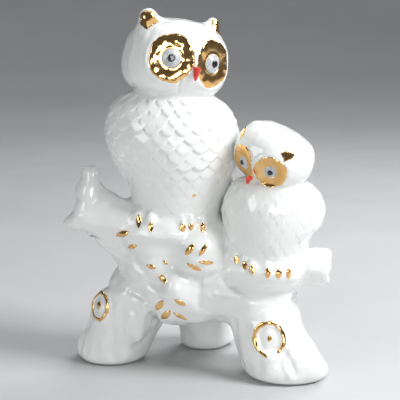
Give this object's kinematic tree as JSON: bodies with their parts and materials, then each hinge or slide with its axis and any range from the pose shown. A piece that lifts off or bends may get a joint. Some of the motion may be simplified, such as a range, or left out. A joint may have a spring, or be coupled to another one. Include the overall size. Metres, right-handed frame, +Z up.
{
  "type": "owl figurine",
  "caption": "Free-standing glazed porcelain figurine: a large owl and a small owl perched on an arched tree stump with root feet, with gilt eyes, claws and leaves.",
  "frame": {"origin": "centre of the footprint box, on the surface that the roots stand on", "axes": "+Z up, -Y towards the viewer in front of the breasts, +X to that viewer's right, towards the small owl"},
  "size_m": [0.0964, 0.0526, 0.1305],
  "materials": {
    "porcelain": "glossy clear glaze over white porcelain",
    "gold": "burnished gold lustre film",
    "eye_grey": "pale grey enamel",
    "black": "glossy black enamel",
    "red": "glossy red enamel"
  },
  "bodies": {
    "root": {"root_base": "porcelain", "left_branch": "porcelain", "right_branch": "porcelain", "large_owl_body": "porcelain", "large_owl_head": "porcelain", "small_owl_body": "porcelain", "small_owl_head": "porcelain", "large_owl_right_eye_disc": "gold", "large_owl_right_eye_white": "eye_grey", "large_owl_right_pupil": "black", "large_owl_right_ear_gold": "gold", "large_owl_right_claws": "gold", "large_owl_left_eye_disc": "gold", "large_owl_left_eye_white": "eye_grey", "large_owl_left_pupil": "black", "large_owl_left_ear_gold": "gold", "large_owl_left_claws": "gold", "large_owl_beak": "red", "small_owl_right_eye_disc": "gold", "small_owl_right_eye_white": "eye_grey", "small_owl_right_pupil": "black", "small_owl_right_ear_gold": "gold", "small_owl_right_claws": "gold", "small_owl_left_eye_disc": "gold", "small_owl_left_eye_white": "eye_grey", "small_owl_left_pupil": "black", "small_owl_left_ear_gold": "gold", "small_owl_left_claws": "gold", "small_owl_beak": "red", "bough_leaves": "gold", "middle_leaves": "gold", "upper_sprig": "gold", "lower_sprig": "gold", "left_knot_ring": "gold", "left_knot_dot": "gold", "right_knot_ring": "gold", "right_knot_dot": "gold", "breast_dot": "gold"}
  },
  "joints": []
}
